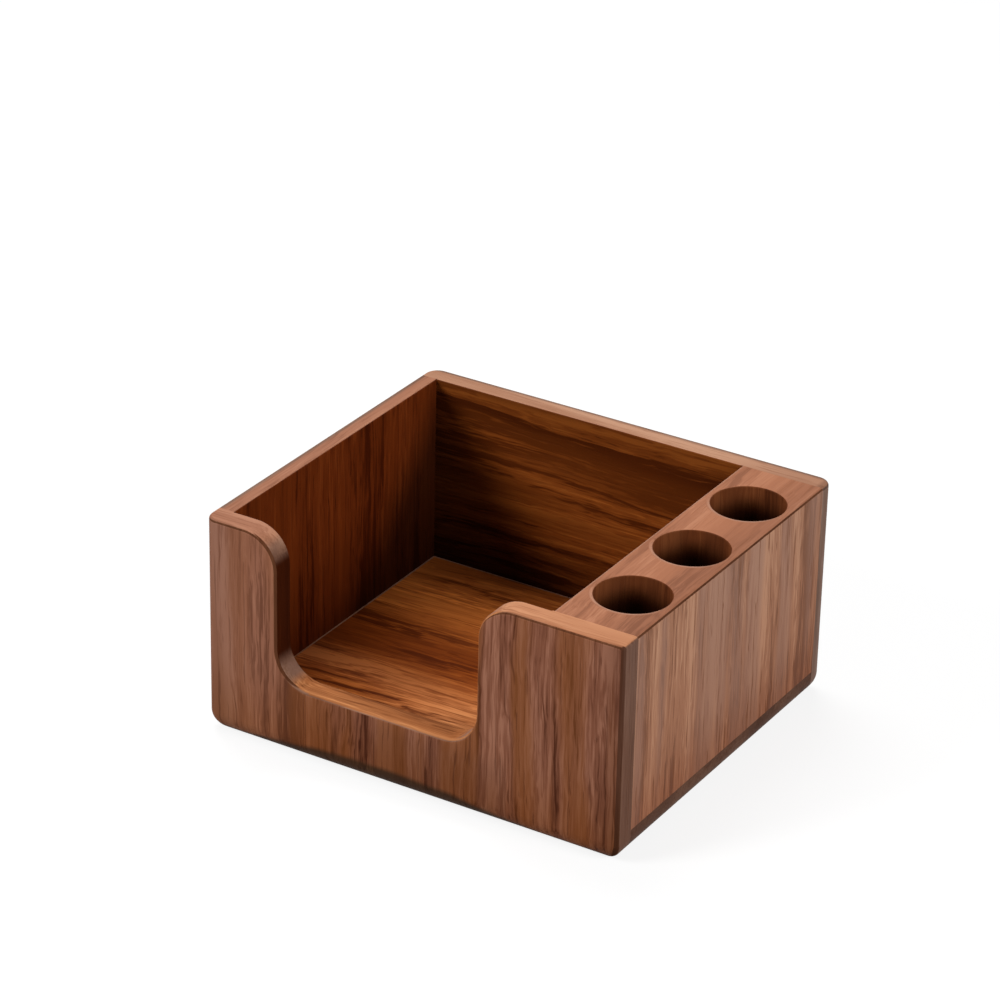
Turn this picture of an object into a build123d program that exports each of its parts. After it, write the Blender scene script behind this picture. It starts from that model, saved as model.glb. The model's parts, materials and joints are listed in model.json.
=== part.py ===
"""Wooden sticky note holder: an open tray for a pad of notes beside a block bored for pens.

Millimetres. The origin is on the table under the middle of the holder. +X runs along the front to the
right, +Y to the back and +Z up.
"""
from build123d import *
import os

# Overall size
width = 100.0
depth = 88.0
height = 50.0

# Boards and block
front_thickness = 5.5
back_thickness = 5.0
side_thickness = 4.0
base_thickness = 6.0
block_width = 19.5

# Finger notch in the front panel: the shoulder is what stands in front of the tray on each side of it
notch_shoulder = 14.0
notch_height = 16.5
notch_top_radius = 8.0
notch_bottom_radius = 8.0

# Pen holes, in a row along the middle of the block
hole_count = 3
hole_diameter = 16.0
hole_pitch = 24.0
hole_floor = 7.0
hole_rim = 0.4

# Rounded edges: three upright corners, the right front corner, the bottom edges, the outer top edges,
# the tray's own top edges and the block's top edge beside the tray
corner_radius = 3.2
near_corner_radius = 1.2
bottom_radius = 4.5
top_radius = 0.8
tray_radius = 0.4
block_edge_radius = 0.8

# Hidden pegs: wood left between a peg's end and the outer face, and room round and behind a peg
peg_skin = 2.0
peg_fit = 0.1
peg_end_room = 0.5
peg_chamfer = 0.3
dowel_diameter = 4.0
dowel_length = 10.0
dowel_spread = 11.0
pin_diameter = 2.0
pin_length = 10.0
side_pin_inset = 10.0
base_pin_count = 3
base_pin_pitch = 32.0

# Planes that several pieces share
left_face = -width / 2
right_face = width / 2
front_face = -depth / 2
back_face = depth / 2
inner_front = front_face + front_thickness
inner_back = back_face - back_thickness
tray_left = left_face + side_thickness
tray_right = right_face - block_width
tray_centre = (tray_left + tray_right) / 2
notch_width = tray_right - tray_left - 2 * notch_shoulder
block_centre = (tray_right + right_face) / 2
standing = (Align.CENTER, Align.CENTER, Align.MIN)
tiny = 0.001


def slab(x0, x1, y0, y1, z0, z1):
    """A plain board between two corners."""
    board = Box(x1 - x0, y1 - y0, z1 - z0, align=(Align.MIN, Align.MIN, Align.MIN))
    return Pos(x0, y0, z0) * board


def edge_at(shape, x=None, y=None, z=None):
    """The straight edges of a shape whose middle lies at the given coordinates."""
    wanted = ((0, x), (1, y), (2, z))

    def fits(edge):
        middle = tuple(edge.position_at(0.5))
        return all(value is None or abs(middle[axis] - value) < tiny for axis, value in wanted)

    return shape.edges().filter_by(GeomType.LINE).filter_by(fits)


def outer_form():
    """The holder's rounded outside, which every board is trimmed to."""
    plan = Rectangle(width, depth)
    corners = plan.vertices().sort_by_distance((right_face, front_face, 0))
    plan = fillet(corners[1:], corner_radius)
    corners = plan.vertices().sort_by_distance((right_face, front_face, 0))
    plan = fillet(corners[0], near_corner_radius)
    form = extrude(plan, height)
    bottom_edges = form.edges().group_by(Axis.Z)[0]
    return fillet(bottom_edges, bottom_radius)


def pegs_along_depth(places, diameter, length, y0):
    """Cylinders along Y that start at y0, one at each (x, z) place."""
    cylinder = Rot(-90, 0, 0) * Cylinder(diameter / 2, length, align=standing)
    return [Pos(x, y0, z) * cylinder for x, z in places]


def peg_group(places, diameter, length):
    """The pegs of one joint, at the front and at the back, with chamfered ends."""
    pegs = pegs_along_depth(places, diameter, length, front_face + peg_skin)
    pegs += pegs_along_depth(places, diameter, length, back_face - peg_skin - length)
    return [chamfer(peg.edges().filter_by(GeomType.CIRCLE), peg_chamfer) for peg in pegs]


def peg_holes(places, diameter, length):
    """The blind holes for the pegs of one joint, drilled through each panel's inner face."""
    bore = diameter + peg_fit
    reach = length + peg_end_room
    holes = pegs_along_depth(places, bore, reach, front_face + peg_skin)
    return holes + pegs_along_depth(places, bore, reach, back_face - peg_skin - reach)


def notch_profile():
    """The tray's part of the front panel, seen from the front, with the notch and its four arcs."""
    board = Pos(tray_left, 0) * Rectangle(tray_right - tray_left, height, align=(Align.MIN, Align.MIN))
    opening = Rectangle(notch_width, height - notch_height, align=(Align.CENTER, Align.MIN))
    board -= Pos(tray_centre, notch_height) * opening

    def notch_corner(corner):
        return abs(abs(corner.X - tray_centre) - notch_width / 2) < tiny

    corners = board.vertices().filter_by(notch_corner).sort_by(Axis.Y)
    board = fillet(corners[:2], notch_bottom_radius)
    corners = board.vertices().filter_by(notch_corner).filter_by(lambda corner: corner.Y > height - tiny)
    return fillet(corners, notch_top_radius)


def front_panel():
    """The front panel: full width and height, with the finger notch."""
    middle = Pos(0, inner_front, 0) * extrude(Plane.XZ * notch_profile(), front_thickness)
    middle = fillet(edge_at(middle, x=tray_centre, y=inner_front, z=notch_height), tray_radius)
    left_end = slab(left_face, tray_left, front_face, inner_front, 0, height)
    right_end = slab(tray_right, right_face, front_face, inner_front, 0, height)
    panel = (middle + left_end + right_end) & outer_form()
    return fillet(edge_at(panel, x=tray_centre, y=front_face, z=notch_height), top_radius)


def back_panel():
    """The back panel: full width and height, with its top edge eased along the tray."""
    middle = slab(tray_left, tray_right, inner_back, back_face, 0, height)
    middle = fillet(edge_at(middle, y=inner_back, z=height), tray_radius)
    left_end = slab(left_face, tray_left, inner_back, back_face, 0, height)
    right_end = slab(tray_right, right_face, inner_back, back_face, 0, height)
    panel = (middle + left_end + right_end) & outer_form()
    return fillet(edge_at(panel, y=back_face, z=height), top_radius)


def left_side_panel():
    """The thin left wall, between the front and back panels and on the base."""
    panel = slab(left_face, tray_left, inner_front, inner_back, base_thickness, height) & outer_form()
    panel = fillet(edge_at(panel, x=left_face, z=height), top_radius)
    return fillet(edge_at(panel, x=tray_left, z=height), tray_radius)


def pen_block():
    """The solid block on the right, with a row of blind pen holes."""
    block = slab(tray_right, right_face, inner_front, inner_back, base_thickness, height) & outer_form()
    block = fillet(edge_at(block, x=right_face, z=height), top_radius)
    block = fillet(edge_at(block, x=tray_right, z=height), block_edge_radius)
    hole_bottom = base_thickness + hole_floor
    hole = Cylinder(hole_diameter / 2, height - hole_bottom, align=standing)
    row_middle = (inner_front + inner_back) / 2
    for index in range(hole_count):
        along = row_middle + (index - (hole_count - 1) / 2) * hole_pitch
        block -= Pos(block_centre, along, hole_bottom) * hole
    rims = block.edges().filter_by(GeomType.CIRCLE).filter_by(lambda rim: rim.arc_center.Z > height - tiny)
    return fillet(rims, hole_rim)


def base_panel():
    """The tray's floor, full width, held between the front and back panels."""
    return slab(left_face, right_face, inner_front, inner_back, 0, base_thickness) & outer_form()


# Where the pegs sit, seen from the front
dowel_height = base_thickness + hole_floor / 2
dowel_places = [(block_centre + side * dowel_spread / 2, dowel_height) for side in (-1, 1)]
side_pin_heights = (base_thickness + side_pin_inset, height - side_pin_inset)
side_pin_places = [(left_face + side_thickness / 2, z) for z in side_pin_heights]
base_pin_steps = [index - (base_pin_count - 1) / 2 for index in range(base_pin_count)]
base_pin_places = [(step * base_pin_pitch, base_thickness / 2) for step in base_pin_steps]

dowel_holes = peg_holes(dowel_places, dowel_diameter, dowel_length)
side_pin_holes = peg_holes(side_pin_places, pin_diameter, pin_length)
base_pin_holes = peg_holes(base_pin_places, pin_diameter, pin_length)
all_holes = dowel_holes + side_pin_holes + base_pin_holes

parts = {
    "front_panel": front_panel() - all_holes,
    "back_panel": back_panel() - all_holes,
    "left_side_panel": left_side_panel() - side_pin_holes,
    "pen_block": pen_block() - dowel_holes,
    "base_panel": base_panel() - base_pin_holes,
    "pen_block_dowels": Compound(peg_group(dowel_places, dowel_diameter, dowel_length)),
    "side_panel_pins": Compound(peg_group(side_pin_places, pin_diameter, pin_length)),
    "base_panel_pins": Compound(peg_group(base_pin_places, pin_diameter, pin_length)),
}

os.makedirs("parts", exist_ok=True)
for name, shape in parts.items():
    export_step(shape, f"parts/{name}.step")
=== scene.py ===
"""Looks for the wooden sticky note holder: walnut boards, a pale studio floor, soft light and the camera.

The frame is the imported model's, in metres: +X along the front to the right, +Y to the back and +Z up.
Sizes inside the wood materials are millimetres, because grain is that small.
"""
import bpy
import json
import math
from collections import namedtuple
from mathutils import Matrix, Vector


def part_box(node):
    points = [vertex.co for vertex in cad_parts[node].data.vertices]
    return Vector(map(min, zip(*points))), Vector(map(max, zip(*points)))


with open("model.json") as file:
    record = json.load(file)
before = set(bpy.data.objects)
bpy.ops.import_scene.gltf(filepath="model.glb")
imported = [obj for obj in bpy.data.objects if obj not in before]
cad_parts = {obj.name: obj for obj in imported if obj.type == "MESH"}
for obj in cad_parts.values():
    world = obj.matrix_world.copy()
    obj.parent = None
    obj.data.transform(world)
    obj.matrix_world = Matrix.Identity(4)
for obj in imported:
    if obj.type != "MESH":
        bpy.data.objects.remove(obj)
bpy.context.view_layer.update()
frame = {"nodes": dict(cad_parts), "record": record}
mm = 1000.0

# Camera: angles in degrees, distance and target in metres, lens and sensor in millimetres
camera_azimuth = 31.08
camera_elevation = 26.88
camera_roll = 1.3
camera_distance = 0.8905
camera_target = Vector((-0.02886, 0.03885, 0.025))
camera_lens = 144.9
sensor_width = 36.0

# Lamps: each one looks at a point in the object from a distance. Angles in degrees, sizes in metres, watts.
light_target = Vector((0.0, 0.0, 0.02))
Lamp = namedtuple("Lamp", "azimuth elevation distance size power")
lamps = {
    "key_light": Lamp(azimuth=228, elevation=64, distance=1.0, size=0.6, power=5.6),
    "front_light": Lamp(azimuth=-36, elevation=30, distance=1.0, size=0.4, power=7.2),
    "right_light": Lamp(azimuth=82, elevation=25, distance=1.1, size=0.5, power=8.2),
}

# Surround: white where it is seen, and dimmer where it lights the object
white = (1.0, 1.0, 1.0)
seen_strength = 1.0
ambient = 0.13

# Floor: half its side in metres, the grey that lights the object, and the glow and the grey that are seen
floor_half = 6.0
floor_bounce = 0.25
floor_glow = 0.82
floor_shade = 0.20

# Surface of the wood: specular levels of the block and of the rest, and the bump with its height in metres
block_gloss = 0.05
board_gloss = 0.03
bump_strength = 0.35
bump_height = 0.00008


def span(node, letter):
    """Where a node starts and ends along an axis, in millimetres."""
    return [getattr(corner, letter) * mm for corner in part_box(node)]


# Planes and holes of the model, in millimetres
left_face, tray_left = span("left_side_panel", "x")
block_left, right_face = span("pen_block", "x")
inner_front = span("front_panel", "y")[1]
inner_back, back_face = span("back_panel", "y")
rim_height = span("front_panel", "z")[1]
half_height = rim_height / 2
hole_mounts = [mount for mount in frame["record"]["mounts"] if mount["kind"] == "bore"]
holes = [Vector(mount["pos_m"]) * mm for mount in hole_mounts]
hole_radius = hole_mounts[0]["dims"]["r_mm"]

# Regions that masks cut out sharply: an axis, and the planes on both sides
tray_region = ("x", tray_left + 1, block_left + 2)
upper_region = ("z", half_height, rim_height + 1)
lower_region = ("z", -1, half_height)
sill_region = ("x", tray_left + 22, block_left)
under_notch = ("x", tray_left + 38, block_left - 6.5)
front_strip = ("x", right_face - 4, right_face + 1)
near_corner = ("x", right_face - 5, right_face + 1)
block_outside = ("x", right_face - 1, right_face + 1)
block_outer_edge = ("x", right_face - 1, right_face)
block_tray_edge = ("x", block_left - 1, block_left + 1)
block_inside = ("x", block_left + 1, right_face - 1)
block_front_seam = ("y", inner_front - 1, inner_front + 0.5)
floor_left_seam = ("x", tray_left - 0.4, tray_left + 0.4)
floor_back_seam = ("y", inner_back - 0.4, inner_back + 0.4)

# Slopes along which masks grow: an axis, where a mask is 0 and where it is 1
left_post = ("x", left_face + 28, left_face + 12)
left_post_top = ("x", left_face + 30, left_face + 26)
front_left_end = ("x", left_face + 14, left_face)
front_right_end = ("x", right_face - 7, right_face)
front_low = ("z", 0.44 * rim_height, 0.06 * rim_height)
below_sill = ("z", 0.36 * rim_height, 0.24 * rim_height)
strip_end = ("x", right_face - 6, right_face - 1)
strip_high = ("z", 0.36 * rim_height, 0.92 * rim_height)
back_outer_rim = ("y", back_face - 1.7, back_face - 0.9)
back_low = ("z", 0.48 * rim_height, 0.18 * rim_height)
back_high = ("z", 0.76 * rim_height, 0.98 * rim_height)
back_right_end = ("x", right_face - 28, right_face - 6)
back_right_corner = ("x", right_face - 2.2, right_face - 1)
left_outer_rim = ("x", left_face + 1.7, left_face + 0.9)
hole_deep = ("z", rim_height - 1, rim_height - 7)
block_low = ("z", 0.44 * rim_height, 0.08 * rim_height)
block_high = ("z", 0.44 * rim_height, 0.92 * rim_height)
block_right_margin = ("x", right_face - 12, right_face)
floor_back = ("y", inner_back - 37, inner_back - 23)
floor_far_back = ("y", inner_back - 21, inner_back - 1)
floor_front = ("y", inner_front + 36.5, inner_front + 12.5)
floor_left_part = ("x", block_left - 26.5, tray_left + 14)
floor_front_part = ("y", inner_front + 30.5, inner_front + 16.5)

# Tints that multiply a wood: under 1 they deepen it, and over 1 they lift it. Most are painted shade or
# painted light.
# Painted shade on the front: darker towards the bottom, the left end and the near right corner
front_low_tint = (0.81, 0.71, 0.57)
front_left_tint = (0.72, 0.73, 0.76)
front_right_tint = (0.7, 0.68, 0.68)
# Painted light on the front's end strip: paler towards its top
strip_tint = (1.15, 1.3, 1.45)
under_notch_tint = (0.85, 0.86, 0.9)
# Painted shade on the back panel: in the tray's back left corner, low and high on its inner face, and on its
# top towards the right end and corner
back_gloom_tint = (0.36, 0.36, 0.42)
back_low_tint = (0.6, 0.6, 0.65)
back_high_tint = (0.66, 0.62, 0.6)
back_right_tint = (0.78, 0.72, 0.7)
back_corner_tint = (0.7, 0.68, 0.68)
# Painted shade on the left wall near the tray's back corner
left_gloom_tint = (0.27, 0.3, 0.4)
# Painted shade deep in the pen holes
hole_tint = (0.2, 0.16, 0.12)
# Painted shade low on the block's outer face, and painted light high on it
block_low_tint = (0.78, 0.64, 0.55)
block_high_tint = (1.04, 1.1, 1.14)
block_margin_tint = (0.82, 0.82, 0.84)
# Painted shade on the tray floor: towards its front left and at its far back
floor_corner_tint = (0.9, 0.6, 0.3)
floor_back_tint = (0.75, 0.74, 0.76)

# How far a face turns towards an axis, as its normal's share along it: where a mask is 0 and where it is 1
slight_turn = (0.1, 0.3)
upward_turn = (0.2, 0.3)
corner_turn = (0.2, 0.4)
arc_turn = (0.15, 0.6)
cheek_turn = (0.4, 0.8)
half_turn = (0.65, 0.75)
top_turn = (0.6, 0.95)
flat_turn = (0.75, 0.95)

# The same share on rounded edges: the least and the most that counts
round_edge = (0.3, 0.93)
inner_edge = (0.4, 0.8)
tray_edge = (0.2, 0.8)
outer_edge = (0.65, 0.95)
side_edge = (0.6, 0.92)

# The most that an upright face may look up or down
upright = 0.7

# The painted shade in the tray's back left corner: its reach in millimetres, and where it is full and where
# it ends
gloom_reach = 45.0
gloom_full = 0.66
gloom_end = 1.16

# The painted shade along the front's foot, in millimetres: where its hump is, ends and is full, its heights,
# drift and edge
foot_middle = left_face + 44
foot_reach = 42.0
foot_full = 6.0
foot_end_height = 1.4
foot_extra_height = 3.2
foot_drift = 1.2
foot_soft = 0.8

# The painted highlight round a pen hole, a fine pale line, in millimetres from its edge
rim_line_start = 1.0
rim_line_full = 0.4

# Noises: cells in millimetres, and detail. Those of the wood's figure have the grain's own axis first.
Noise = namedtuple("Noise", "cell detail")
wander_noise = Noise((70, 30, 30), 1.0)
ripple_noise = Noise((18, 7, 7), 1.0)
shiver_noise = Noise((6, 1.6, 1.6), 1.0)
band_noise = Noise((240, 9, 9), 1.5)
streak_noise = Noise((34, 1.4, 1.4), 3.0)
fleck_noise = Noise((10, 0.4, 0.4), 1.5)
vein_noise = Noise((34, 0.55, 0.55), 1.0)
patch_noise = Noise((90, 7, 7), 1.0)
foot_noise = Noise((9, 9, 1000), 1.0)
noise_roughness = 0.55

# How far the grain sways, in millimetres, and the share of the ripple in its wander
wander_reach = 4.0
ripple_share = 0.3
shiver_reach = 0.7

# Growth rings: how far the bands bend them, how steeply they darken and where they end
ring_bend = 3.0
ring_power = 1.6
ring_end = 0.82

# Tone of the wood: its middle, and how much each part of the figure adds
middle_tone = 0.6
band_weight = 2.8
streak_weight = 1.9
fleck_weight = 1.3
ring_weight = -0.6

# Veins and patches: the noise where they start and are full, the patches' share, and what roughens the wood
vein_range = (0.59, 0.72)
patch_range = (0.42, 0.62)
patch_share = 0.6
vein_roughness = 0.15
fleck_roughness = 0.12

# The share by which the dark grade falls below a wood's colour, and by which the light grade rises over it
dark_fall = (0.68, 0.76, 0.8)
light_gain = (0.55, 0.8, 0.95)

# A wood has four linear colours, and numbers that shape its figure: how far the grain wanders, how dark the
# growth rings are and how far apart, how dark the veins are, how much the grain leans to the side, and how
# rough the surface is. Flush is a second hue in patches.
Wood = namedtuple("Wood", "dark mid light flush waves rings spacing veins lean rough")
colour_count = 4


def wood(mid, flush, spread=1.0, waves=1.0, rings=0.3, spacing=9.0, veins=0.4, lean=0.0, rough=0.55):
    """A wood from its middle colour: the dark grade is redder than it and the light grade is paler."""
    dark = [value * (1 - fall * spread) for value, fall in zip(mid, dark_fall)]
    light = [value * (1 + gain * spread) for value, gain in zip(mid, light_gain)]
    return Wood(dark, mid, light, flush, waves, rings, spacing, veins, lean, rough)


# Outer faces
front_wood = wood((0.233, 0.087, 0.049), (0.258, 0.084, 0.024), rings=0.5, veins=0.5)
post_wood = wood((0.308, 0.128, 0.076), (0.29, 0.111, 0.055), spread=0.65, rings=0.2, veins=0.6)
# Painted shade along the front's foot
foot_shade_wood = wood((0.08, 0.038, 0.021), (0.064, 0.032, 0.02), spread=0.6)
side_wood = wood((0.34, 0.15, 0.083), (0.288, 0.148, 0.103), spread=0.65, waves=0.8, veins=0.8)
rear_wood = wood((0.31, 0.122, 0.063), (0.29, 0.115, 0.06), spread=0.7, waves=0.8, veins=0.5)
# Painted highlight: a pale line at the pen block's front edge and along the tray floor's joints with the
# walls
seam_highlight_wood = wood((0.38, 0.188, 0.118), (0.36, 0.178, 0.11), spread=0.4)
strip_wood = wood((0.145, 0.064, 0.038), (0.132, 0.063, 0.041), spread=0.5, waves=0.6)
back_strip_wood = wood((0.185, 0.107, 0.078), (0.165, 0.096, 0.073), spread=0.5, waves=0.6)
base_wood = wood((0.098, 0.042, 0.024), (0.082, 0.037, 0.023), spread=0.5)

# Top faces and edges
edge_wood = wood((0.42, 0.174, 0.085), (0.37, 0.145, 0.07), spread=0.75, waves=0.8, rings=0.5, spacing=3.0)
left_top_wood = wood((0.33, 0.142, 0.083), (0.35, 0.15, 0.086), spread=0.5, waves=0.8)
back_top_wood = wood((0.375, 0.185, 0.11), (0.35, 0.165, 0.097), spread=0.5, waves=0.8)
# Painted shade on the rounded outer edges of the left and back tops
outer_rim_shade_wood = wood((0.2, 0.105, 0.07), (0.18, 0.1, 0.068), spread=0.4)
block_top_wood = wood((0.35, 0.14, 0.074), (0.37, 0.145, 0.074), spread=0.42, spacing=6.0, lean=0.05)
sill_wood = wood((0.365, 0.13, 0.045), (0.35, 0.115, 0.036), rings=0.7, spacing=3.0)
# Painted light: the grey of the notch's lit arcs
lit_arc_wood = wood((0.25, 0.125, 0.078), (0.23, 0.12, 0.084), spread=0.4)
# Painted shade on rounded edges: fine dark lines, and the near upright corner
dark_edge_shade = wood((0.12, 0.042, 0.019), (0.1, 0.036, 0.016), spread=0.5, rough=0.9)
near_edge_shade_wood = wood((0.12, 0.046, 0.025), (0.105, 0.042, 0.024), spread=0.4, rough=0.9)
# Painted highlights on rounded edges and round the pen holes: fine pale and pink lines
pale_highlight = wood((0.37, 0.137, 0.052), (0.37, 0.137, 0.052), spread=0.5, rough=0.9)
pink_highlight = wood((0.42, 0.21, 0.135), (0.4, 0.2, 0.13), spread=0.3)

# Tray, holes and pegs
# Painted shade on the notch's upright sides
cheek_shade_wood = wood((0.044, 0.008, 0.0015), (0.036, 0.0065, 0.0014), spread=0.6, rough=0.9)
# Painted shade on the walls of the pen holes
hole_shade_wood = wood((0.134, 0.036, 0.011), (0.112, 0.03, 0.0095), spread=0.6, waves=0.6)
# Tray faces: their own redder and golden hues, and partly painted shade, as they are far darker than the
# outside
red_shaded_wood = wood((0.105, 0.0185, 0.0031), (0.12, 0.022, 0.0034), spread=0.85, waves=0.8, veins=0.35)
gold_shaded_wood = wood((0.2, 0.05, 0.0075), (0.12, 0.028, 0.004), spread=0.95, rings=0.6, spacing=4.0, veins=0.2)
# Painted light on the tray floor: its back and front are lighter copies of the middle's wood
floor_back_lit_wood = wood((0.55, 0.148, 0.026), (0.485, 0.128, 0.023), rings=0.4, spacing=3.5, lean=-0.06)
floor_wood = wood((0.33, 0.069, 0.009), (0.264, 0.053, 0.0067), rings=0.5, spacing=3.5, lean=-0.06)
floor_front_lit_wood = wood((0.5, 0.182, 0.065), (0.44, 0.144, 0.043), rings=1.3, spacing=3.5, lean=-0.06)
raw_peg_wood = wood((0.6, 0.42, 0.25), (0.56, 0.38, 0.22), spread=0.4, waves=0.5)

# Axis letters put in order so that the grain's own axis comes first
grain_orders = {"x": "xyz", "y": "yzx", "z": "zxy"}

# How far each board's seed shifts it to its own patch of wood, in millimetres
patch_step = Vector((37.0, 23.0, 11.0))


class Tree:
    """A node tree, with one short call for each kind of node that the materials use."""

    def __init__(self, tree):
        self.tree = tree

    def add(self, kind, inputs=None, **settings):
        """A new node with these settings, its inputs linked or filled."""
        made = self.tree.nodes.new(kind)
        for name, value in settings.items():
            setattr(made, name, value)
        for key, value in (inputs or {}).items():
            self.put(made.inputs[key], value)
        return made

    def put(self, socket, value):
        """Links an output to a socket, or sets the socket's own value."""
        if isinstance(value, bpy.types.NodeSocket):
            self.tree.links.new(value, socket)
        elif socket.type == "RGBA":
            socket.default_value = (*value[:3], 1.0)
        else:
            socket.default_value = value

    def math(self, operation, first, second=0.0, third=0.0):
        """One sum on numbers."""
        return self.add("ShaderNodeMath", {0: first, 1: second, 2: third}, operation=operation).outputs[0]

    def vector(self, operation, first, second=(0, 0, 0)):
        """One sum on vectors."""
        return self.add("ShaderNodeVectorMath", {0: first, 1: second}, operation=operation).outputs[0]

    def combine(self, x=0.0, y=0.0, z=0.0):
        """A vector from three numbers."""
        return self.add("ShaderNodeCombineXYZ", {0: x, 1: y, 2: z}).outputs[0]

    def separate(self, vector):
        """The three numbers of a vector."""
        return list(self.add("ShaderNodeSeparateXYZ", {0: vector}).outputs)

    def step(self, value, low, high):
        """0 at low, 1 at high and a smooth rise between."""
        inputs = {"Value": value, "From Min": low, "From Max": high}
        return self.add("ShaderNodeMapRange", inputs, interpolation_type="SMOOTHSTEP").outputs[0]

    def mix(self, share, first, second):
        """Goes from the first colour to the second."""
        inputs = {0: share, 6: first, 7: second}
        return self.add("ShaderNodeMix", inputs, data_type="RGBA").outputs[2]

    def mix_numbers(self, share, first, second):
        """Goes from the first number to the second."""
        return self.add("ShaderNodeMix", {0: share, 2: first, 3: second}).outputs[0]

    def mix_vectors(self, share, first, second):
        """Goes from the first vector to the second."""
        return self.add("ShaderNodeMix", {0: share, 4: first, 5: second}, data_type="VECTOR").outputs[1]

    def noise(self, point, kind):
        """One kind of noise, from 0 to 1."""
        scaled = self.vector("DIVIDE", point, kind.cell)
        inputs = {"Vector": scaled, "Scale": 1.0, "Detail": kind.detail, "Roughness": noise_roughness}
        return self.add("ShaderNodeTexNoise", inputs).outputs[0]

    def swing(self, point, kind):
        """The same noise, from -0.5 to 0.5."""
        return self.math("SUBTRACT", self.noise(point, kind), 0.5)


def along_grain(t, parts, axis, seed):
    """A point in millimetres with its first number along the grain, shifted to its own patch of wood."""
    turned = t.combine(*(parts[letter] for letter in grain_orders[axis]))
    return t.vector("ADD", turned, patch_step * seed)


def sway_grain(t, grain, wood):
    """The point moved to the side, so that the grain wanders, shivers and leans."""
    ripple = t.swing(grain, ripple_noise)
    wander = t.math("MULTIPLY_ADD", ripple, ripple_share, t.swing(grain, wander_noise))
    shiver = t.math("MULTIPLY", t.swing(grain, shiver_noise), shiver_reach)
    sway = t.math("MULTIPLY_ADD", wander, t.math("MULTIPLY", wood.waves, wander_reach), shiver)
    sway = t.math("MULTIPLY_ADD", t.separate(grain)[0], wood.lean, sway)
    return t.vector("ADD", grain, t.combine(0.0, sway, sway))


def growth_rings(t, point, bands, wood):
    """The growth rings: each one darkens slowly and ends at once."""
    across = t.math("ADD", *t.separate(point)[1:])
    turns = t.math("MULTIPLY_ADD", bands, ring_bend, t.math("DIVIDE", across, wood.spacing))
    ring = t.math("FRACT", turns)
    ring = t.math("MULTIPLY", t.math("POWER", ring, ring_power), t.step(ring, 1.0, ring_end))
    return t.math("MULTIPLY", ring, wood.rings)


def walnut(t, grain, wood):
    """Colour, bump height and roughness of walnut at a point along the grain."""
    point = sway_grain(t, grain, wood)
    bands = t.swing(point, band_noise)
    streaks = t.swing(point, streak_noise)
    flecks = t.swing(point, fleck_noise)
    veins = t.step(t.noise(point, vein_noise), *vein_range)
    patches = t.step(t.noise(point, patch_noise), *patch_range)
    ring = growth_rings(t, point, bands, wood)

    tone = t.math("MULTIPLY_ADD", bands, band_weight, middle_tone)
    tone = t.math("MULTIPLY_ADD", streaks, streak_weight, tone)
    tone = t.math("MULTIPLY_ADD", flecks, fleck_weight, tone)
    tone = t.math("MULTIPLY_ADD", ring, ring_weight, tone)

    colour = t.mix(t.step(tone, 0.0, 0.5), wood.dark, wood.mid)
    colour = t.mix(t.step(tone, 0.5, 1.0), colour, wood.light)
    colour = t.mix(t.math("MULTIPLY", patches, patch_share), colour, wood.flush)
    colour = t.mix(t.math("MULTIPLY", veins, wood.veins), colour, wood.dark)
    height = t.math("SUBTRACT", flecks, veins)
    roughness = t.math("MULTIPLY_ADD", flecks, fleck_roughness, wood.rough)
    roughness = t.math("MULTIPLY_ADD", veins, vein_roughness, roughness)
    return colour, height, roughness


def blend_woods(t, share, first, second):
    """The settings of two woods, mixed by a mask."""
    pairs = list(zip(first, second))
    colours = [t.mix(share, *pair) for pair in pairs[:colour_count]]
    numbers = [t.mix_numbers(share, *pair) for pair in pairs[colour_count:]]
    return Wood(*colours, *numbers)


# A spot is where a material is worked out: its place in millimetres, whole and by axis, and its normal
Spot = namedtuple("Spot", "place parts normal")

# A zone is one sort of face on a board: a mask made at each spot, the grain's axis and the wood
Zone = namedtuple("Zone", "mask axis wood")

# A shade is a deeper or paler part of a board: a mask and the tint that multiplies the wood there
Shade = namedtuple("Shade", "mask tint")


def board_material(name, seed, gloss, zones, shades=()):
    """Walnut for one board. The first zone covers it all, and each later zone covers where its mask is 1."""
    material = bpy.data.materials.new(name)
    material.use_nodes = True
    t = Tree(material.node_tree)
    shader = material.node_tree.nodes["Principled BSDF"]
    coordinates = t.add("ShaderNodeTexCoord")
    place = t.vector("MULTIPLY", coordinates.outputs["Object"], (mm, mm, mm))
    parts = dict(zip("xyz", t.separate(place)))
    normal = dict(zip("xyz", t.separate(coordinates.outputs["Normal"])))
    spot = Spot(place, parts, normal)

    grain = along_grain(t, parts, zones[0].axis, seed)
    wood = zones[0].wood
    for zone in zones[1:]:
        mask = zone.mask(t, spot)
        covered = t.math("GREATER_THAN", mask, 0.5)
        grain = t.mix_vectors(covered, grain, along_grain(t, parts, zone.axis, seed))
        wood = blend_woods(t, mask, wood, zone.wood)
    colour, height, roughness = walnut(t, grain, wood)
    for shade in shades:
        colour = t.mix(shade.mask(t, spot), colour, t.vector("MULTIPLY", colour, shade.tint))

    bump = t.add("ShaderNodeBump", {"Strength": bump_strength, "Distance": bump_height, "Height": height})
    t.put(shader.inputs["Base Color"], colour)
    t.put(shader.inputs["Roughness"], roughness)
    t.put(shader.inputs["Normal"], bump.outputs[0])
    shader.inputs["Specular IOR Level"].default_value = gloss
    return material


def whole(t, spot):
    """A mask for the first zone, which covers the board."""
    return 1.0


def facing(axis, sign, turn=half_turn):
    """A mask for the faces that look along an axis."""
    return lambda t, spot: t.step(t.math("MULTIPLY", spot.normal[axis], sign), *turn)


def tilted(axis, sign, shares=round_edge):
    """A mask for rounded edges: they look partly, and not fully, along an axis."""
    low, high = shares
    middle = sign * (low + high) / 2
    return lambda t, spot: t.math("COMPARE", spot.normal[axis], middle, (high - low) / 2)


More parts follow.
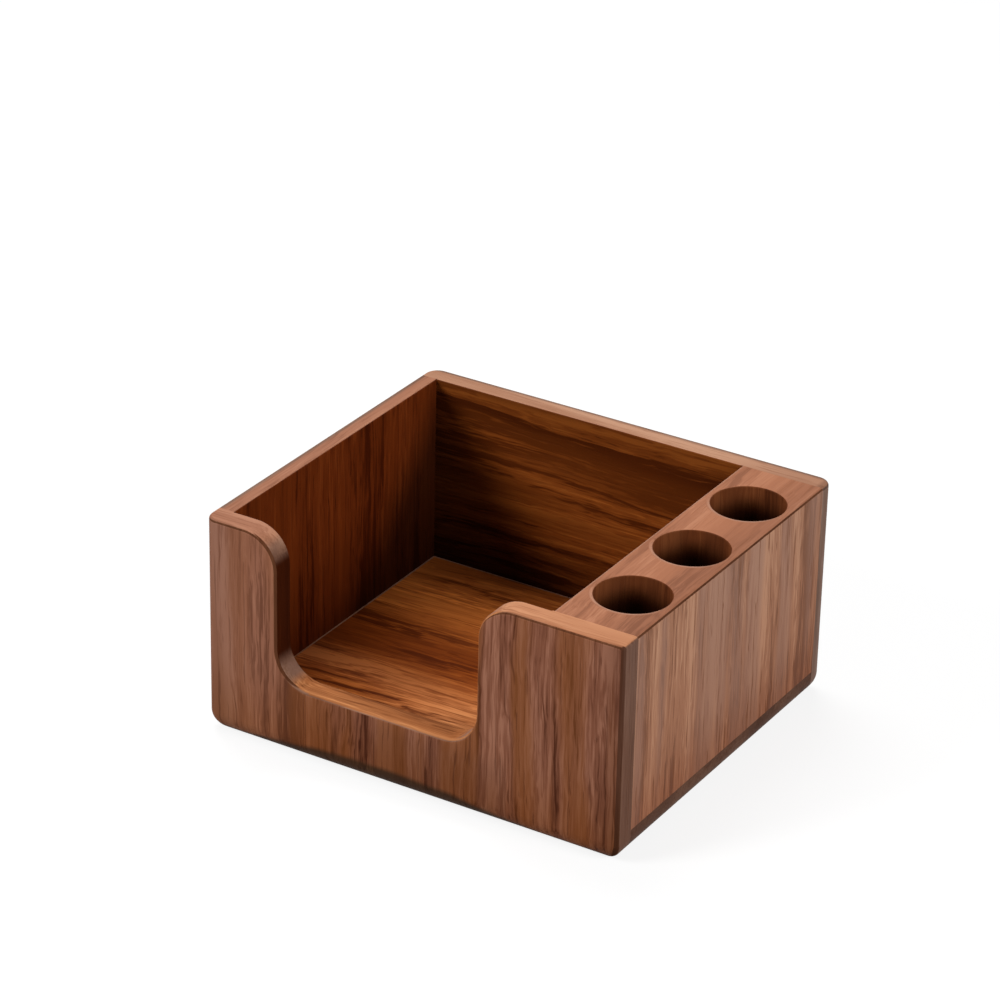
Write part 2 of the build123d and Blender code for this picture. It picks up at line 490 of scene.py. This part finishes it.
def between(axis, low, high):
    """A mask for what lies between two planes."""
    return lambda t, spot: t.math("COMPARE", spot.parts[axis], (low + high) / 2, (high - low) / 2)


def rise(axis, low, high):
    """A mask that goes from 0 at one plane to 1 at another."""
    return lambda t, spot: t.step(spot.parts[axis], low, high)


def both(*masks):
    """A mask for what lies in all of these masks."""
    def mask(t, spot):
        share = 1.0
        for part in masks:
            share = t.math("MULTIPLY", share, part(t, spot))
        return share
    return mask


def standing(t, spot):
    """A mask for faces that are upright, or nearly so."""
    return t.math("LESS_THAN", t.math("ABSOLUTE", spot.normal["z"]), upright)


def gloom(axis, corner):
    """A mask for painted shade on a tray wall: low down and near the back left corner."""
    def mask(t, spot):
        away = t.math("ABSOLUTE", t.math("SUBTRACT", spot.parts[axis], corner))
        away = t.math("DIVIDE", away, gloom_reach)
        height = t.math("DIVIDE", spot.parts["z"], rim_height)
        return t.step(t.math("ADD", away, height), gloom_end, gloom_full)
    return mask


def foot(t, spot):
    """A mask for the painted shade along the front's foot, which is highest near its middle."""
    reach = t.math("ABSOLUTE", t.math("SUBTRACT", spot.parts["x"], foot_middle))
    top = t.math("MULTIPLY_ADD", t.step(reach, foot_reach, foot_full), foot_extra_height, foot_end_height)
    drift = t.swing(spot.place, foot_noise)
    depth = t.math("SUBTRACT", t.math("MULTIPLY_ADD", drift, foot_drift, top), spot.parts["z"])
    return t.step(depth, -foot_soft, foot_soft)


def near_rims(t, spot):
    """A mask for the painted highlight, a fine pale line, round the near half of each pen hole."""
    share = 0.0
    for hole in holes:
        x = t.math("SUBTRACT", spot.parts["x"], hole.x)
        y = t.math("SUBTRACT", spot.parts["y"], hole.y)
        away = t.math("SQRT", t.math("ADD", t.math("MULTIPLY", x, x), t.math("MULTIPLY", y, y)))
        line = t.step(away, hole_radius + rim_line_start, hole_radius + rim_line_full)
        share = t.math("MAXIMUM", share, t.math("MULTIPLY", line, t.step(y, 0.0, -hole_radius)))
    return share


def paint(node, material):
    """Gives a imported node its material."""
    mesh = frame["nodes"][node].data
    mesh.materials.clear()
    mesh.materials.append(material)


def paint_board(node, seed, gloss, zones, shades):
    """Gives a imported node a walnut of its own."""
    paint(node, board_material(f"{node}_walnut", seed, gloss, zones, shades))


def paint_front_panel():
    """The front: banded walnut, pale tops and the notch's sill, with painted light on its arcs and painted
    shade on its sides and foot.
    """
    front = facing("y", -1, slight_turn)
    upward = facing("z", 1, upward_turn)
    across_tray = between(*tray_region)
    upper_half = between(*upper_region)
    lower_half = between(*lower_region)
    right_end = facing("x", 1)
    top = both(facing("z", 1, top_turn), upper_half)
    arcs = both(facing("z", 1, arc_turn), across_tray)
    sill = both(facing("z", 1, flat_turn), lower_half, across_tray)
    left_cheek = both(facing("x", 1, cheek_turn), across_tray)
    right_cheek = both(facing("x", -1, cheek_turn), across_tray)
    top_front_edge = both(tilted("y", -1, outer_edge), upward, upper_half)
    left_cheek_edge = both(tilted("y", -1), facing("x", 1, corner_turn), across_tray)
    right_cheek_edge = both(tilted("y", -1, inner_edge), facing("x", -1, corner_turn), across_tray)
    near_edge = both(tilted("y", -1), facing("x", 1, corner_turn), between(*near_corner))
    sill_front_edge = both(tilted("y", -1, inner_edge), upward, lower_half, between(*sill_region))
    sill_back_edge = both(tilted("y", 1), upward, lower_half)
    zones = [
        Zone(whole, "z", front_wood),
        Zone(both(front, rise(*left_post)), "z", post_wood),
        Zone(both(front, foot), "z", foot_shade_wood),
        Zone(both(right_end, between(*front_strip)), "z", strip_wood),
        Zone(facing("y", 1), "z", red_shaded_wood),
        Zone(left_cheek, "z", cheek_shade_wood),
        Zone(right_cheek, "z", cheek_shade_wood),
        Zone(arcs, "x", lit_arc_wood),
        Zone(top, "x", edge_wood),
        Zone(both(top, rise(*left_post_top)), "x", left_top_wood),
        Zone(sill, "x", sill_wood),
        Zone(top_front_edge, "z", dark_edge_shade),
        Zone(left_cheek_edge, "z", dark_edge_shade),
        Zone(near_edge, "z", near_edge_shade_wood),
        Zone(right_cheek_edge, "z", pale_highlight),
        Zone(sill_front_edge, "x", pale_highlight),
        Zone(sill_back_edge, "x", dark_edge_shade),
    ]
    # Painted shade low on the front and at its ends, painted light high on the end strip, and a darker part
    # below the sill's right half
    shades = [
        Shade(both(front, rise(*front_low)), front_low_tint),
        Shade(both(front, rise(*front_left_end)), front_left_tint),
        Shade(both(front, rise(*front_right_end)), front_right_tint),
        Shade(both(right_end, rise(*strip_end), rise(*strip_high)), strip_tint),
        Shade(both(front, between(*under_notch), rise(*below_sill)), under_notch_tint),
    ]
    paint_board("front_panel", seed=1, gloss=board_gloss, zones=zones, shades=shades)


def paint_back_panel():
    """The back: plain walnut outside, gold-streaked walnut partly in painted shade towards the tray, and a
    pale top.
    """
    inner = facing("y", -1)
    rim = facing("z", 1, slight_turn)
    zones = [
        Zone(whole, "z", rear_wood),
        Zone(facing("x", 1), "z", back_strip_wood),
        Zone(inner, "x", gold_shaded_wood),
        Zone(facing("z", 1), "x", back_top_wood),
        Zone(both(rim, rise(*back_outer_rim)), "x", outer_rim_shade_wood),
    ]
    # Painted shade in the tray's back left corner, low and high on the inner face, and on the top's right
    # end and corner
    shades = [
        Shade(both(inner, gloom("x", tray_left)), back_gloom_tint),
        Shade(both(inner, rise(*back_low)), back_low_tint),
        Shade(both(inner, rise(*back_high)), back_high_tint),
        Shade(both(rim, rise(*back_right_end)), back_right_tint),
        Shade(both(rim, rise(*back_right_corner)), back_corner_tint),
    ]
    paint_board("back_panel", seed=2, gloss=board_gloss, zones=zones, shades=shades)


def paint_left_side_panel():
    """The left side: plain walnut outside, red walnut partly in painted shade towards the tray, and a pale
    top.
    """
    inner = facing("x", 1)
    rim = facing("z", 1, slight_turn)
    zones = [
        Zone(whole, "z", rear_wood),
        Zone(inner, "z", red_shaded_wood),
        Zone(facing("z", 1), "y", left_top_wood),
        Zone(both(rim, rise(*left_outer_rim)), "y", outer_rim_shade_wood),
    ]
    # Painted shade on the inner face near the tray's back corner
    shades = [Shade(both(inner, gloom("y", inner_back)), left_gloom_tint)]
    paint_board("left_side_panel", seed=3, gloss=board_gloss, zones=zones, shades=shades)


def paint_pen_block():
    """The pen block: side walnut, a pinkish top with painted highlights and painted shade as fine lines
    along its edges, and holes in painted shade.
    """
    top = facing("z", 1)
    upward = facing("z", 1, upward_turn)
    wall = both(between(*block_inside), standing)
    outside = both(facing("x", 1), between(*block_outside))
    left_edge = both(tilted("x", -1, tray_edge), upward, between(*block_tray_edge))
    right_edge = both(tilted("x", 1, side_edge), upward, between(*block_outer_edge))
    zones = [
        Zone(whole, "z", side_wood),
        Zone(both(outside, between(*block_front_seam)), "z", seam_highlight_wood),
        Zone(facing("x", -1), "z", red_shaded_wood),
        Zone(wall, "z", hole_shade_wood),
        Zone(top, "y", block_top_wood),
        Zone(both(top, near_rims), "y", pink_highlight),
        Zone(left_edge, "y", pink_highlight),
        Zone(right_edge, "y", dark_edge_shade),
    ]
    # Painted shade deep in the holes and low on the outer face, and painted light high on it; the top is
    # darker near its right edge
    shades = [
        Shade(both(wall, rise(*hole_deep)), hole_tint),
        Shade(both(outside, rise(*block_low)), block_low_tint),
        Shade(both(outside, rise(*block_high)), block_high_tint),
        Shade(both(top, rise(*block_right_margin)), block_margin_tint),
    ]
    paint_board("pen_block", seed=4, gloss=block_gloss, zones=zones, shades=shades)


def paint_base_panel():
    """The base: dark edges, a plain underside, an orange tray floor with painted light and shade, and a fine
    pale line along its walls as a painted highlight.
    """
    top = facing("z", 1)
    zones = [
        Zone(whole, "x", base_wood),
        Zone(facing("z", -1), "x", rear_wood),
        Zone(top, "x", floor_wood),
        Zone(both(top, rise(*floor_back)), "x", floor_back_lit_wood),
        Zone(both(top, rise(*floor_front)), "x", floor_front_lit_wood),
        Zone(both(top, between(*floor_left_seam)), "x", seam_highlight_wood),
        Zone(both(top, between(*floor_back_seam)), "x", seam_highlight_wood),
    ]
    # Painted shade on the floor towards its front left and at its far back
    shades = [
        Shade(both(top, rise(*floor_left_part), rise(*floor_front_part)), floor_corner_tint),
        Shade(both(top, rise(*floor_far_back)), floor_back_tint),
    ]
    paint_board("base_panel", seed=5, gloss=board_gloss, zones=zones, shades=shades)


def paint_pegs():
    """The hidden pegs are raw wood, with the grain along each peg."""
    zones = [Zone(whole, "y", raw_peg_wood)]
    raw_wood = board_material("peg_wood_raw", seed=6, gloss=board_gloss, zones=zones)
    for node in ("pen_block_dowels", "side_panel_pins", "base_panel_pins"):
        paint(node, raw_wood)


def seen_ray(t):
    """1 for the rays that show the white surround: to the camera, in reflections and through glass."""
    rays = t.add("ShaderNodeLightPath").outputs
    mirrored = t.math("MAXIMUM", rays["Is Glossy Ray"], rays["Is Transmission Ray"])
    return t.math("MAXIMUM", rays["Is Camera Ray"], mirrored)


def floor_material():
    """Paint that is seen as white with the object's shadow on it, and that throws less light back."""
    material = bpy.data.materials.new("floor_paint")
    material.use_nodes = True
    nodes = material.node_tree.nodes
    nodes.remove(nodes["Principled BSDF"])
    t = Tree(material.node_tree)
    bounce = t.add("ShaderNodeBsdfDiffuse", {"Color": (floor_bounce,) * 3}).outputs[0]
    shaded = t.add("ShaderNodeBsdfDiffuse", {"Color": (floor_shade,) * 3}).outputs[0]
    glow = t.add("ShaderNodeEmission", {"Color": white, "Strength": floor_glow}).outputs[0]
    seen = t.add("ShaderNodeAddShader", {0: shaded, 1: glow}).outputs[0]
    surface = t.add("ShaderNodeMixShader", {0: seen_ray(t), 1: bounce, 2: seen}).outputs[0]
    t.put(nodes["Material Output"].inputs["Surface"], surface)
    return material


def make_floor():
    """A plain pale floor, which the object stands on."""
    half = floor_half
    corners = [(-half, -half, 0), (half, -half, 0), (half, half, 0), (-half, half, 0)]
    mesh = bpy.data.meshes.new("floor")
    mesh.from_pydata(corners, [], [(0, 1, 2, 3)])
    mesh.materials.append(floor_material())
    floor = bpy.data.objects.new("floor", mesh)
    bpy.context.scene.collection.objects.link(floor)


def make_world():
    """A white surround where it is seen, and a dimmer one to light the object."""
    world = bpy.data.worlds.new("studio")
    bpy.context.scene.world = world
    world.use_nodes = True
    t = Tree(world.node_tree)
    background = world.node_tree.nodes["Background"]
    t.put(background.inputs["Color"], white)
    t.put(background.inputs["Strength"], t.mix_numbers(seen_ray(t), ambient, seen_strength))


def backward(azimuth, elevation):
    """The direction from the object to something that looks at it."""
    a = math.radians(azimuth)
    e = math.radians(elevation)
    return Vector((math.sin(a) * math.cos(e), -math.cos(a) * math.cos(e), math.sin(e)))


def make_lamps():
    """The soft lamps of the studio."""
    for name, lamp in lamps.items():
        light = bpy.data.lights.new(name, "AREA")
        light.shape = "DISK"
        light.size = lamp.size
        light.energy = lamp.power
        holder = bpy.data.objects.new(name, light)
        direction = backward(lamp.azimuth, lamp.elevation)
        holder.location = light_target + direction * lamp.distance
        holder.rotation_euler = direction.to_track_quat("Z", "Y").to_euler()
        bpy.context.scene.collection.objects.link(holder)


def make_camera():
    """The camera at the photograph's angle."""
    data = bpy.data.cameras.new("camera")
    data.sensor_width = sensor_width
    data.lens = camera_lens
    camera = bpy.data.objects.new("camera", data)
    direction = backward(camera_azimuth, camera_elevation)
    roll = Matrix.Rotation(math.radians(camera_roll), 3, "Z")
    turned = direction.to_track_quat("Z", "Y").to_matrix() @ roll
    place = Matrix.Translation(camera_target + direction * camera_distance)
    camera.matrix_world = place @ turned.to_4x4()
    bpy.context.scene.collection.objects.link(camera)
    bpy.context.scene.camera = camera


paint_front_panel()
paint_back_panel()
paint_left_side_panel()
paint_pen_block()
paint_base_panel()
paint_pegs()
make_floor()
make_world()
make_lamps()
make_camera()
bpy.context.scene.view_settings.view_transform = "Standard"
